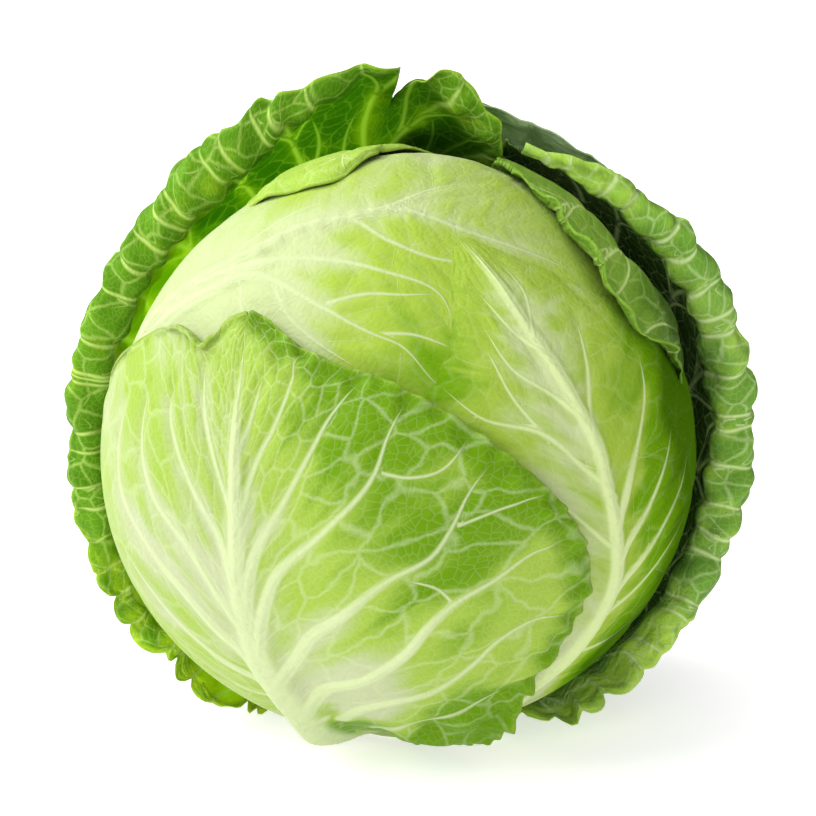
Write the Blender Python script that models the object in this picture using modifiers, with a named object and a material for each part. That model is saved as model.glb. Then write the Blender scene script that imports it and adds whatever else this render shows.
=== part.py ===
"""A head of white cabbage: ten separate solids, eight of them leaves, in metres with +Z up.

The origin is the centre of the stem's cut face, on which the head stands, and the front is -Y.
Places on the head are directions from its centre, as longitude and latitude in degrees:
longitude 0 is the front and 90 is +X, latitude 90 is the top and -90 is the stem.

A leaf is a loft of rows. Each row runs from the midrib to a margin, and midrib and margins are
smooth curves through a few directions. How far the blade is from the head's centre comes from
piling: each leaf lies on the heart or on the leaves below it, one gap above them, and sinks
gently beside them where they end. A wrapper leaf also stands off by a radius of its own, and
its margin is a strip that rolls outwards.
"""

import math

import bmesh
import bpy
import numpy as np

HEAD_HEIGHT = 0.082  # from the cut face to the head's centre
HEAD_RADIUS = 0.084  # turns a leaf's angles into lengths
HEART_RADIUS = 0.0785
HEART_SLACK = 0.0006  # the heart's coarse mesh stays this far under its surface
BLADE = 0.0012
GAP = 0.0012  # between a blade and what it lies on
SKIRT_START = 0.003  # a leaf is lifted over another as far as this outside the other's margin
SKIRT = 0.017  # and sinks again over this length
RIB_BURIED = 0.012  # a midrib is flat this deep under a leaf above
RIB_TIP_SHARE = 0.25  # of its width, which a midrib keeps at the tip
VEIN_HEIGHT = 0.0006
VEIN_STOP = 0.001  # veins end this far outside the margin of a leaf above
VEIN_FADE = 0.005
STEM_CUT_RADIUS = 0.018
STEM_TOP_RADIUS = 0.0205
STEM_TOP = 0.0070
STEM_EDGE = 0.0008
CLEARANCE = 0.0007
BOW = 0.10  # how far a row bends towards the tip, as a share of its length
LAST_STATION = 0.994
LEAST_TURN = 0.05  # radians, so that a flat strip is a very wide roll
OUTLINE_POINTS = 61

# The heart swells and sinks softly: longitude, latitude, half-width in degrees, change in metres.
HEART_SWELLS = (
    (-75, -15, 55, 0.0022),
    (60, 5, 55, 0.0016),
    (0, -90, 50, -0.0008),
    (10, 75, 45, 0.0022),
)


def directions(longitude, latitude):
    lon = np.radians(longitude)
    lat = np.radians(latitude)
    return np.stack([np.cos(lat) * np.sin(lon), -np.cos(lat) * np.cos(lon), np.sin(lat)], -1)


def smooth_step(value):
    value = np.clip(value, 0.0, 1.0)
    return value * value * (3.0 - 2.0 * value)


def curve_through(knots, points, at):
    """A smooth curve through points at uneven knots: cubic pieces that share their slopes."""
    gap = np.diff(knots)[:, None]
    slope = np.diff(points, axis=0) / gap
    middle = (slope[:-1] * gap[1:] + slope[1:] * gap[:-1]) / (gap[1:] + gap[:-1])
    tangent = np.vstack([slope[:1], middle, slope[-1:]])
    at = np.clip(at, knots[0], knots[-1])
    piece = np.clip(np.searchsorted(knots, at, "right") - 1, 0, len(knots) - 2)
    width = gap[piece]
    u = ((at - knots[piece])[:, None]) / width
    return (
        (1 + 2 * u) * (1 - u) ** 2 * points[piece]
        + u * (1 - u) ** 2 * width * tangent[piece]
        + u * u * (3 - 2 * u) * points[piece + 1]
        + u * u * (u - 1) * width * tangent[piece + 1]
    )


def unit(vectors):
    return vectors / np.maximum(np.linalg.norm(vectors, axis=-1, keepdims=True), 1e-12)


def heart_radius(dirs):
    radius = np.full(len(dirs), HEART_RADIUS)
    for longitude, latitude, width, change in HEART_SWELLS:
        angle = np.degrees(np.arccos(np.clip(dirs @ directions(longitude, latitude), -1, 1)))
        radius += change * (1 - smooth_step(angle / width))
    return radius


class Chart:
    """A flat map of the directions round a centre: angles from the centre stay true."""

    def __init__(self, longitude, latitude):
        self.centre = directions(longitude, latitude)
        self.east = directions(longitude + 90, 0)
        self.north = np.cross(self.centre, self.east)

    def flat(self, dirs):
        angle = np.arccos(np.clip(dirs @ self.centre, -1, 1))
        scale = angle / np.maximum(np.sin(angle), 1e-6)
        return np.stack([dirs @ self.east, dirs @ self.north], -1) * scale[..., None]

    def dirs(self, flat):
        angle = np.linalg.norm(flat, axis=-1, keepdims=True)
        way = flat / np.maximum(angle, 1e-9)
        side = self.east * way[..., :1] + self.north * way[..., 1:]
        return self.centre * np.cos(angle) + side * np.sin(angle)


class Reach:
    """A wrapper's own distance from the centre, a spline through the radii in its points."""

    def __init__(self, dirs, radii):
        self.at = dirs
        count = len(dirs)
        system = np.zeros((count + 1, count + 1))
        system[:count, :count] = np.linalg.norm(dirs[:, None] - dirs[None], axis=-1)
        system[:count, count] = 1
        system[count, :count] = 1
        solved = np.linalg.solve(system, np.append(radii, 0))
        self.weights = solved[:count]
        self.level = solved[count]

    def radius(self, dirs):
        return np.linalg.norm(dirs[:, None] - self.at[None], axis=-1) @ self.weights + self.level


class Leaf:
    """rib, left and right list (station, longitude, latitude[, radius in mm]) from base to tip.

    rib_size is the midrib's half width and height at the base. rolls gives for each side the strip
    that turns outwards, as (station, turn in degrees, width in mm).
    """

    def __init__(
        self,
        name,
        centre,
        rib,
        left,
        right,
        rib_size=(0.010, 0.0028),
        rolls=(None, None),
        roll_columns=0,
    ):
        self.name = name
        self.chart = Chart(*centre)
        self.rib = self.read(rib)
        self.margins = (self.read(left), self.read(right))
        self.rib_size = rib_size
        self.rolls = rolls
        self.roll_columns = roll_columns
        stations = np.linspace(0, 1, OUTLINE_POINTS)
        outline = [self.along(self.margins[0], stations), self.along(self.margins[1], stations)[::-1]]
        self.outline = np.vstack(outline) * HEAD_RADIUS
        given = [row for row in rib + left + right if len(row) > 3]
        self.reach = None
        if given:
            table = np.array(sorted(set(row[1:] for row in given)), float)
            self.reach = Reach(directions(table[:, 0], table[:, 1]), table[:, 2] / 1000)

    def read(self, rows):
        table = np.array([row[:3] for row in rows], float)
        return table[:, 0], self.chart.flat(directions(table[:, 1], table[:, 2]))

    def along(self, line, stations):
        return curve_through(line[0], line[1], stations)

    def depth(self, dirs):
        """How far inside the outline each direction is, in metres on the head, or outside if negative."""
        spot = self.chart.flat(dirs)[:, None] * HEAD_RADIUS
        start = self.outline[None]
        end = np.roll(self.outline, -1, axis=0)[None]
        run = end - start
        share = np.clip(((spot - start) * run).sum(-1) / np.maximum((run * run).sum(-1), 1e-12), 0, 1)
        away = np.linalg.norm(spot - start - share[..., None] * run, axis=-1).min(1)
        level = (start[..., 1] > spot[..., 1]) != (end[..., 1] > spot[..., 1])
        rise = np.where(np.abs(run[..., 1]) < 1e-12, 1e-12, run[..., 1])
        crossing = start[..., 0] + (spot[..., 1] - start[..., 1]) / rise * run[..., 0]
        inside = (level & (spot[..., 0] < crossing)).sum(1) % 2 == 1
        return np.where(inside, away, -away)

    def rib_lift(self, dirs):
        """How much the midrib thickens the blade outwards, tapering from base to tip."""
        stations = np.linspace(0, 1, OUTLINE_POINTS)
        line = self.along(self.rib, stations) * HEAD_RADIUS
        away = np.linalg.norm(self.chart.flat(dirs)[:, None] * HEAD_RADIUS - line[None], axis=-1)
        nearest = away.argmin(1)
        taper = 1 - stations[nearest]
        half_width, height = self.rib_size
        half_width = half_width * (RIB_TIP_SHARE + (1 - RIB_TIP_SHARE) * taper)
        swell = smooth_step(10 * stations[nearest] + 0.35)
        return height * taper**1.2 * swell * (1 - smooth_step(away.min(1) / half_width))


def pile(dirs, number):
    """Inner radius and thickness of leaf `number`, and how deep under higher leaves each point is."""
    depths = [leaf.depth(dirs) for leaf in LEAVES] + [np.full(len(dirs), -1.0)]
    stack = heart_radius(dirs) + GAP
    for index, leaf in enumerate(LEAVES[: number + 1]):
        inner = stack
        if leaf.reach:
            inner = np.maximum(stack, leaf.reach.radius(dirs))
        open_to_air = np.ones(len(dirs))
        for depth in depths[index + 1 :]:
            open_to_air *= 1 - smooth_step(depth / RIB_BURIED)
        thickness = BLADE + leaf.rib_lift(dirs) * open_to_air
        if index == number:
            return inner, thickness, np.max(depths[index + 1 :], axis=0)
        cover = smooth_step((depths[index] + SKIRT_START + SKIRT) / SKIRT)
        stack = stack + cover * (inner + thickness + GAP - stack)


# Leaves from the inside out. Rows are (station, longitude, latitude) and, on a wrapper, radius in mm.
LEAVES = [
    Leaf(
        "upper_leaf",
        centre=(-45, 30),
        rib=[(0, -80, -74), (0.18, -90, -45), (0.36, -84, -5), (0.46, -78, 25), (0.58, -49, 50),
             (0.68, -14, 63), (0.78, 15, 60), (1, 72, 46)],
        left=[(0, -94, -73.5), (0.1, -118, -50), (0.22, -130, -20), (0.34, -132, 10), (0.46, -132, 35),
              (0.58, -142, 52), (0.68, 178, 62), (0.8, 125, 60), (0.9, 98, 54), (1, 76, 48)],
        right=[(0, -66, -73.5), (0.1, -52, -52), (0.22, -42, -20), (0.34, -30, -5), (0.46, -15, 0),
               (0.58, 2, 4), (0.7, 20, 10), (0.82, 42, 18), (0.92, 60, 29), (1, 72, 43)],
    ),
    Leaf(
        "back_leaf",
        centre=(180, 10),
        rib=[(0, -170, -74), (0.27, 178, -35), (0.53, 175, 5), (0.76, 178, 40), (1, -110, 85)],
        left=[(0, 170, -73.5), (0.1, 150, -55), (0.27, 125, -30), (0.45, 115, 0), (0.62, 112, 30),
              (0.76, 122, 50), (0.88, 148, 68), (1, -130, 85)],
        right=[(0, -152, -73.5), (0.1, -140, -55), (0.27, -122, -30), (0.45, -113, 0), (0.62, -106, 30),
               (0.74, -97, 50), (0.82, -78, 61), (0.89, -60, 67), (0.95, -45, 73), (1, -85, 86)],
    ),
    Leaf(
        "right_leaf",
        centre=(45, 5),
        rib=[(0, 38, -74), (0.11, 31, -55), (0.22, 32, -42), (0.34, 40, -31), (0.45, 44, -16),
             (0.54, 42, -5), (0.63, 39, 6), (0.72, 33, 22), (0.82, 27, 36), (1, 17, 57.5)],
        left=[(0, 25, -73.5), (0.11, 12, -56), (0.22, 0, -42), (0.34, -8, -25), (0.45, -8, -5),
              (0.55, -6, 10), (0.65, 0, 22), (0.73, 7, 31), (0.82, 10, 40), (0.9, 11, 48), (1, 15, 57)],
        right=[(0, 55, -73.5), (0.11, 75, -62), (0.22, 96, -45), (0.34, 104, -25), (0.45, 104, -5),
               (0.54, 98, 12), (0.63, 86, 27), (0.72, 68, 36), (0.81, 52, 43), (0.9, 36, 51), (1, 19, 58)],
    ),
    Leaf(
        "side_leaf",
        centre=(115, 5),
        rib=[(0, 118, -74), (0.22, 124, -42), (0.45, 125, -5), (0.68, 120, 30), (0.85, 110, 52), (1, 88, 70)],
        left=[(0, 104, -73.5), (0.1, 96, -52), (0.22, 92, -30), (0.35, 88, -8), (0.45, 78, 12),
              (0.52, 70, 21), (0.59, 60, 25), (0.66, 53, 31), (0.74, 52, 38), (0.82, 54, 47),
              (0.89, 61, 56), (0.95, 69, 63), (1, 82, 70)],
        right=[(0, 134, -73.5), (0.11, 150, -55), (0.27, 160, -30), (0.4, 164, 0), (0.6, 160, 30),
               (0.8, 150, 55), (1, 95, 73)],
        rolls=([(0, 0, 2), (0.45, 5, 3), (0.55, 45, 9), (0.9, 50, 9), (1, 10, 3)], None),
        roll_columns=2,
    ),
    Leaf(
        "front_leaf",
        centre=(-30, -10),
        rib=[(0, -5, -74), (0.12, -13, -59), (0.26, -24, -45), (0.39, -31, -32), (0.52, -32, -18),
             (0.64, -31, -2), (0.77, -32, 12), (0.89, -34, 25), (1, -37, 36.5)],
        left=[(0, -22, -73.5), (0.09, -62, -63), (0.18, -90, -46), (0.27, -101, -22), (0.36, -97, 0),
              (0.44, -80, 19), (0.52, -67, 28), (0.61, -58, 31), (0.71, -52, 32.5), (0.82, -47, 33.5),
              (0.92, -42, 35), (1, -38, 37)],
        right=[(0, 12, -73.5), (0.06, 26, -62), (0.13, 28, -50), (0.2, 29, -38), (0.26, 34, -24),
               (0.31, 36, -12), (0.37, 31, 0), (0.43, 23, 9), (0.49, 12, 18), (0.58, -2, 26),
               (0.7, -14, 29.5), (0.84, -24, 32), (0.93, -31, 35), (1, -36, 37)],
        rib_size=(0.012, 0.0034),
    ),
    Leaf(
        "left_wrapper",
        centre=(-150, 15),
        rib=[(0, -125, -74, 80), (0.2, -135, -42, 85), (0.42, -146, -5, 87), (0.62, -156, 25, 89),
             (0.8, -166, 45, 94), (1, -176, 64, 102)],
        left=[(0, -142, -73.5, 80), (0.1, -165, -60, 85), (0.22, 175, -35, 87), (0.38, 165, -5, 88),
              (0.52, 158, 25, 89), (0.62, 150, 50, 89), (0.7, 141, 63, 90), (0.77, 149, 69, 96),
              (0.84, 161, 73, 104), (0.9, 170, 72.5, 105), (0.95, 177, 69.5, 104), (1, -177, 64.5, 102)],
        right=[(0, -108, -73.5, 80), (0.07, -74, -62, 83), (0.14, -82, -50, 86), (0.22, -91, -37, 88),
               (0.3, -95, -22, 88), (0.39, -96, -6, 88), (0.48, -96, 10, 88), (0.56, -97, 24, 87.5),
               (0.63, -100, 36, 87), (0.7, -104, 46, 88), (0.76, -111, 55, 89.5), (0.82, -122, 62, 94),
               (0.88, -142, 69, 101), (0.94, -166, 73, 108), (0.975, -178, 71.5, 107.5), (1, -175, 64.5, 102)],
        rolls=(
            [(0, 0, 1.5), (0.66, 0, 1.5), (0.72, 70, 9), (0.8, 80, 9), (0.86, 20, 4), (0.9, 0, 1.5),
             (1, 0, 1.5)],
            [(0, 0, 2), (0.08, 20, 3), (0.14, 40, 6), (0.22, 60, 8), (0.3, 90, 11), (0.39, 150, 15),
             (0.48, 190, 19), (0.72, 190, 18.5), (0.82, 150, 14), (0.88, 90, 7), (0.93, 30, 3),
             (0.97, 0, 1.5), (1, 0, 1.5)],
        ),
        roll_columns=6,
    ),
    Leaf(
        "right_wrapper",
        centre=(130, 10),
        rib=[(0, 80, -74, 80), (0.2, 100, -50, 85), (0.42, 118, -15, 88), (0.65, 126, 20, 90),
             (0.85, 129, 42, 91), (1, 134, 60, 91)],
        left=[(0, 62, -73.5, 81), (0.06, 62, -64, 83), (0.13, 76, -53, 86), (0.2, 84, -43, 88),
              (0.28, 89, -31, 89), (0.36, 92, -20, 90), (0.46, 94, -7, 90), (0.56, 95, 7, 90),
              (0.66, 97, 20, 91), (0.76, 101, 32, 91.5), (0.86, 107, 43, 91), (0.94, 115, 52, 90.5),
              (1, 132, 62, 90)],
        right=[(0, 98, -73.5, 80), (0.12, 130, -60, 86), (0.3, 158, -35, 89), (0.5, 168, -5, 90),
               (0.68, 166, 25, 91), (0.85, 158, 48, 92), (1, 138, 62, 92)],
        rolls=(
            [(0, 0, 2), (0.06, 10, 2), (0.13, 40, 6), (0.2, 80, 9), (0.28, 150, 15), (0.36, 175, 17),
             (0.86, 185, 17.5), (1, 120, 10)],
            None,
        ),
        roll_columns=6,
    ),
    Leaf(
        "back_wrapper",
        centre=(165, 10),
        rib=[(0, 152, -74, 82), (0.26, 163, -38, 89), (0.52, 165, 5, 93), (0.76, 160, 38, 98),
             (1, 152, 58, 102)],
        left=[(0, 140, -73.5, 82), (0.13, 130, -50, 90), (0.3, 127, -20, 95), (0.48, 124, 5, 98),
              (0.65, 122, 25, 100), (0.8, 124, 41, 101), (0.9, 135, 51, 102), (1, 149, 59, 102)],
        right=[(0, 170, -73.5, 82), (0.13, -170, -52, 89), (0.3, -163, -20, 93), (0.48, -163, 10, 94),
               (0.65, -167, 36, 96), (0.82, -176, 52, 99), (1, 158, 60, 102)],
    ),
]

# Mesh rows along each leaf, and columns on each side of its midrib. Every other row is a vein.
ROWS = {"upper_leaf": 26, "back_leaf": 22, "front_leaf": 26, "left_wrapper": 44, "right_wrapper": 34}
USUAL_ROWS = 20
COLUMNS = {"upper_leaf": 8, "back_leaf": 7, "front_leaf": 7, "left_wrapper": 7}
USUAL_COLUMNS = 6
LOBE = 0.07  # how much wider a rolled strip is between two veins than on them

# Colour, roughness and metallic value of each piece.
LOOKS = {
    "heart": ((0.75, 0.82, 0.45), 0.45, 0.0),
    "stem": ((0.72, 0.76, 0.42), 0.6, 0.0),
    "upper_leaf": ((0.68, 0.84, 0.35), 0.4, 0.0),
    "back_leaf": ((0.40, 0.63, 0.09), 0.4, 0.0),
    "right_leaf": ((0.34, 0.53, 0.06), 0.4, 0.0),
    "side_leaf": ((0.12, 0.23, 0.03), 0.4, 0.0),
    "front_leaf": ((0.55, 0.74, 0.20), 0.4, 0.0),
    "left_wrapper": ((0.10, 0.25, 0.01), 0.45, 0.0),
    "right_wrapper": ((0.12, 0.27, 0.02), 0.45, 0.0),
    "back_wrapper": ((0.10, 0.20, 0.04), 0.45, 0.0),
}


def half_leaf(leaf, number, side, stations, raised):
    """The inner points and the steps to the outer ones, in rows from the midrib to a margin."""
    middle = leaf.along(leaf.rib, stations)
    edge = leaf.along(leaf.margins[side], stations)
    reach = edge - middle
    length = np.linalg.norm(reach, axis=-1) * HEAD_RADIUS
    ahead = unit(leaf.along(leaf.rib, stations + 0.02) - leaf.along(leaf.rib, stations - 0.02))
    bend = (middle + edge) / 2 + ahead * (BOW * np.linalg.norm(reach, axis=-1))[:, None]
    roll = leaf.rolls[side]
    blade_end = np.ones(len(stations))
    if roll:
        knots, turns, widths = zip(*roll)
        turn = np.radians(np.interp(stations, knots, turns)) + LEAST_TURN
        width = np.interp(stations, knots, widths) / 1000
        strip = np.minimum(width * (1 + LOBE * np.where(raised, -1, 1)), 0.45 * length)
        blade_end = 1 - strip * np.sin(np.minimum(turn, math.pi / 2)) / turn / length

    columns = COLUMNS.get(leaf.name, USUAL_COLUMNS)
    share = (np.arange(columns + 1) / columns)[None, :, None] * blade_end[:, None, None]
    flat = (
        (1 - share) ** 2 * middle[:, None]
        + 2 * share * (1 - share) * bend[:, None]
        + share**2 * edge[:, None]
    )
    dirs = leaf.chart.dirs(flat)
    shape = dirs.shape
    inner, thickness, covered = pile(dirs.reshape(-1, 3), number)
    profile = np.sin(math.pi * np.minimum(share[..., 0], 0.98)) ** 0.5
    bare = 1 - smooth_step((covered.reshape(shape[:2]) + VEIN_STOP + VEIN_FADE) / VEIN_FADE)
    vein = VEIN_HEIGHT * raised[:, None] * profile * bare
    points = dirs * inner.reshape(shape[:2] + (1,))
    steps = dirs * (thickness.reshape(shape[:2]) + vein)[..., None]
    if not roll:
        return points, steps

    along = unit(points[:, -1] - points[:, -2])
    out = unit(dirs[:, -1] - (dirs[:, -1] * along).sum(-1, keepdims=True) * along)
    count = leaf.roll_columns
    turned = turn[:, None] * (np.arange(1, count + 1) / count)
    forward = (strip / turn)[:, None] * np.sin(turned)
    lifted = (strip / turn)[:, None] * (1 - np.cos(turned))
    strip_points = points[:, -1:] + along[:, None] * forward[..., None] + out[:, None] * lifted[..., None]
    normal = out[:, None] * np.cos(turned)[..., None] - along[:, None] * np.sin(turned)[..., None]
    return np.hstack([points, strip_points]), np.hstack([steps, normal * BLADE])


def leaf_mesh(leaf, number):
    rows = ROWS.get(leaf.name, USUAL_ROWS)
    stations = np.linspace(0, LAST_STATION, rows + 1)
    raised = np.arange(rows + 1) % 2 == 1
    left_points, left_steps = half_leaf(leaf, number, 0, stations, raised)
    right_points, right_steps = half_leaf(leaf, number, 1, stations, raised)
    inner = np.hstack([left_points[:, :0:-1], right_points])
    steps = np.hstack([left_steps[:, :0:-1], right_steps])
    return closed_sheet(inner, inner + steps)


def closed_sheet(inner, outer):
    """Vertices and triangles of a blade between two like grids, split alike on both faces."""
    rows, columns = inner.shape[:2]
    index = np.arange(rows * columns).reshape(rows, columns)
    near = index[:-1, :-1].ravel()
    right = index[:-1, 1:].ravel()
    far = index[1:, 1:].ravel()
    left = index[1:, :-1].ravel()
    face = np.vstack([np.stack([near, right, far], 1), np.stack([near, far, left], 1)])
    count = rows * columns
    border = np.concatenate([index[0], index[1:, -1], index[-1, -2::-1], index[-2:0:-1, 0]])
    after = np.roll(border, -1)
    rim = np.vstack(
        [
            np.stack([after + count, border + count, border], 1),
            np.stack([after + count, border, after], 1),
        ]
    )
    points = np.vstack([inner.reshape(-1, 3), outer.reshape(-1, 3)])
    return points, np.vstack([face[:, ::-1], face + count, rim])


def new_object(name, mesh, collection):
    color, roughness, metallic = LOOKS[name]
    material = bpy.data.materials.new(name)
    material.use_nodes = True
    shader = material.node_tree.nodes["Principled BSDF"]
    shader.inputs["Base Color"].default_value = (*color, 1)
    shader.inputs["Roughness"].default_value = roughness
    shader.inputs["Metallic"].default_value = metallic
    mesh.materials.append(material)
    mesh.shade_smooth()
    piece = bpy.data.objects.new(name, mesh)
    collection.objects.link(piece)
    return piece


def make_leaf(number, collection):
    leaf = LEAVES[number]
    points, faces = leaf_mesh(leaf, number)
    points[:, 2] += HEAD_HEIGHT
    mesh = bpy.data.meshes.new(leaf.name)
    mesh.from_pydata(points.tolist(), [], faces.tolist())
    new_object(leaf.name, mesh, collection)


def make_heart(collection):
    """A ball of inner leaves, cut flat just over the stem."""
    work = bmesh.new()
    bmesh.ops.create_uvsphere(work, u_segments=24, v_segments=16, radius=1)
    dirs = np.array([unit(np.array(vertex.co)) for vertex in work.verts])
    for vertex, direction, radius in zip(work.verts, dirs, heart_radius(dirs)):
        vertex.co = direction * (radius - HEART_SLACK)
        vertex.co.z = max(vertex.co.z + HEAD_HEIGHT, STEM_TOP + CLEARANCE)
    mesh = bpy.data.meshes.new("heart")
    work.to_mesh(mesh)
    work.free()
    new_object("heart", mesh, collection)


def make_stem(collection):
    """The stump: it widens upwards from the flat cut face."""
    work = bmesh.new()
    bmesh.ops.create_cone(
        work,
        cap_ends=True,
        segments=32,
        radius1=STEM_CUT_RADIUS,
        radius2=STEM_TOP_RADIUS,
        depth=STEM_TOP,
    )
    mesh = bpy.data.meshes.new("stem")
    work.to_mesh(mesh)
    work.free()
    stem = new_object("stem", mesh, collection)
    stem.location.z = STEM_TOP / 2
    bevel = stem.modifiers.new("rounded cut", "BEVEL")
    bevel.width = STEM_EDGE
    bevel.segments = 2
    bevel.limit_method = "ANGLE"


for old in list(bpy.data.objects):
    bpy.data.objects.remove(old)
head = bpy.data.collections.new("cabbage_head")
bpy.context.scene.collection.children.link(head)
make_heart(head)
make_stem(head)
for place in range(len(LEAVES)):
    make_leaf(place, head)
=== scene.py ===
import math

import bpy
import numpy as np
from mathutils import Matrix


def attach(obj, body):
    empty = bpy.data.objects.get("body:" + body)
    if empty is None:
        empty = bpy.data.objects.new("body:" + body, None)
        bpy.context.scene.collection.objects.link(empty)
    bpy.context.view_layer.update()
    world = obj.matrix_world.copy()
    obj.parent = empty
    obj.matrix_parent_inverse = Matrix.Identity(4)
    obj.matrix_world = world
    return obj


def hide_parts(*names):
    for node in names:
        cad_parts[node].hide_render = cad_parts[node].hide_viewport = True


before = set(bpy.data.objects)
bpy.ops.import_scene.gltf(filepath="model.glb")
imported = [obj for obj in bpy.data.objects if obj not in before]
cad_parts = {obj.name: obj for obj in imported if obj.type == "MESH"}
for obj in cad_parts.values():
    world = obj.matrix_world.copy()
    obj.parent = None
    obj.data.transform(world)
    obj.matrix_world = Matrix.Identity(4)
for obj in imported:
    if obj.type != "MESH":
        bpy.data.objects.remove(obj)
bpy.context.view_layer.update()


# --- Heart ---------------------------------------------------------------------------------------
# The heart is the closed ball of inner leaves. Every other leaf is grown round it, so it hardly
# shows: it stays a plain ball, in the pale yellow of leaves that never see the light.

class Shade:
    """An output of a material's node tree. Sums and products of it add Math nodes."""

    def __init__(self, tree, socket=None):
        self.tree = tree
        self.socket = socket

    def feed(self, entry, value):
        """Links or sets one input, with a colour's alpha added."""
        if isinstance(value, Shade):
            self.tree.links.new(value.socket, entry)
        elif entry.type == "RGBA":
            entry.default_value = (*value, 1)
        else:
            entry.default_value = value

    def node(self, kind, settings, inputs, output=0):
        """Any node: its settings come first, then its inputs by name or place."""
        made = self.tree.nodes.new(kind)
        for name, value in settings.items():
            setattr(made, name, value)
        for name, value in inputs.items():
            self.feed(made.inputs[name], value)
        return Shade(self.tree, made.outputs[output])

    def maths(self, operation, *values):
        """A Math node of this operation on values or sockets."""
        return self.node("ShaderNodeMath", {"operation": operation}, dict(enumerate(values)))

    def __add__(self, other):
        return self.maths("ADD", self, other)

    def __radd__(self, other):
        return self.maths("ADD", other, self)

    def __sub__(self, other):
        return self.maths("SUBTRACT", self, other)

    def __rsub__(self, other):
        return self.maths("SUBTRACT", other, self)

    def __mul__(self, other):
        return self.maths("MULTIPLY", self, other)

    def __rmul__(self, other):
        return self.maths("MULTIPLY", other, self)

    def __truediv__(self, other):
        return self.maths("DIVIDE", self, other)

    def __rtruediv__(self, other):
        return self.maths("DIVIDE", other, self)

    def __pow__(self, other):
        return self.maths("POWER", self, other)

    def step(self, low, high):
        """Rises smoothly from 0 at low to 1 at high. Low may be the larger."""
        settings = {"interpolation_type": "SMOOTHSTEP"}
        inputs = {"Value": self, "From Min": low, "From Max": high}
        return self.node("ShaderNodeMapRange", settings, inputs)

    def between(self, first, second):
        """A colour between two others, by this share of the second."""
        settings = {"data_type": "RGBA"}
        return self.node("ShaderNodeMix", settings, {0: self, 6: first, 7: second}, output=2)

    def attribute(self, name, output="Fac"):
        """A field that the mesh carries from its grid."""
        return self.node("ShaderNodeAttribute", {"attribute_name": name}, {}, output)


def new_material(name, **constants):
    """A material with a bare Principled shader: (the tree as a Shade, the shader node)."""
    material = bpy.data.materials.new(name)
    material.use_nodes = True
    tree = material.node_tree
    shader = tree.nodes["Principled BSDF"]
    for entry, value in constants.items():
        shader.inputs[entry.replace("_", " ")].default_value = value
    return material, Shade(tree), shader


def wear(piece, material):
    """Makes this the piece's only material."""
    piece.data.materials.clear()
    piece.data.materials.append(material)


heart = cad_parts["heart"]
heart_material, tree, shader = new_material("heart_leaves", Roughness=0.45)
place = tree.node("ShaderNodeTexCoord", {}, {}, "Object")
grain = tree.node("ShaderNodeTexNoise", {}, {"Vector": place, "Scale": 60.0, "Detail": 4.0})
tree.feed(shader.inputs["Base Color"], grain.between((0.78, 0.86, 0.5), (0.62, 0.74, 0.32)))
wear(heart, heart_material)


# --- Stem ----------------------------------------------------------------------------------------
# The stem is a stump 7 mm high, cut flat, on which the head stands. All leaves grow from it.
# The cut shows a pale woody ring round a softer pith, green at the rim.

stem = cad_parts["stem"]
stem_material, tree, shader = new_material("stem_cut", Roughness=0.6)
place = tree.node("ShaderNodeTexCoord", {}, {}, "Object")
split = tree.node("ShaderNodeSeparateXYZ", {}, {0: place})
across = Shade(tree.tree, split.socket.node.outputs[1])
radius = (split * split + across * across) ** 0.5
woody = radius.step(0.0095, 0.0115) - radius.step(0.0135, 0.0155)
pith = woody.between((0.66, 0.74, 0.42), (0.78, 0.8, 0.58))
rim = radius.step(0.0165, 0.0185)
tree.feed(shader.inputs["Base Color"], rim.between(pith, (0.33, 0.42, 0.13)))
wear(stem, stem_material)


# --- How the leaves lie --------------------------------------------------------------------------
# Eight leaves wrap the heart, each held by the stem below and lying on the leaves under it. Places
# are directions from the head's centre: longitude 0 is the front, latitude 90 the top, in degrees.

HEAD_CENTRE = np.array([0.0, 0.0, 0.082])
HEAD_RADIUS = 0.084
HEART_RADIUS = 0.0785
BLADE = 0.0012  # a leaf's thickness between its veins
GAP = 0.0012  # the air between two leaves that lie on each other
SKIRT_START = 0.003  # a leaf lifts those above it up to this far outside its outline,
SKIRT = 0.017  # and less and less over this distance
RIB_BURIED = 0.012  # how deep under another leaf a midrib has flattened out
RIB_TIP_SHARE = 0.25  # a midrib's width at the tip, of that at the base
BOW = 0.10  # how far a row across the leaf bows towards the tip, of its length
LAST_STATION = 0.994  # the last row, a little short of the tip
LEAST_TURN = 0.05  # the turn in radians of a strip that isn't rolled
OUTLINE_POINTS = 61
VEIN_STOP = 0.001  # veins stop this far short of where another leaf covers them,
VEIN_FADE = 0.005  # and fade over this distance before it
RESTING = 0.003  # below this height a leaf is bent up, so that it rests on the table

# The heart swells and sinks softly: longitude, latitude, half-width in degrees, change in metres.
HEART_SWELLS = (
    (-75, -15, 55, 0.0022),
    (60, 5, 55, 0.0016),
    (0, -90, 50, -0.0008),
    (10, 75, 45, 0.0022),
)


def directions(longitude, latitude):
    """Unit vectors from the head's centre, from angles in degrees."""
    lon = np.radians(longitude)
    lat = np.radians(latitude)
    return np.stack([np.cos(lat) * np.sin(lon), -np.cos(lat) * np.cos(lon), np.sin(lat)], -1)


def smooth_step(value):
    """Rises from 0 to 1 as the value does, level at both ends: three squares less two cubes."""
    value = np.clip(value, 0.0, 1.0)
    return value * value * (3.0 - 2.0 * value)


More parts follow.
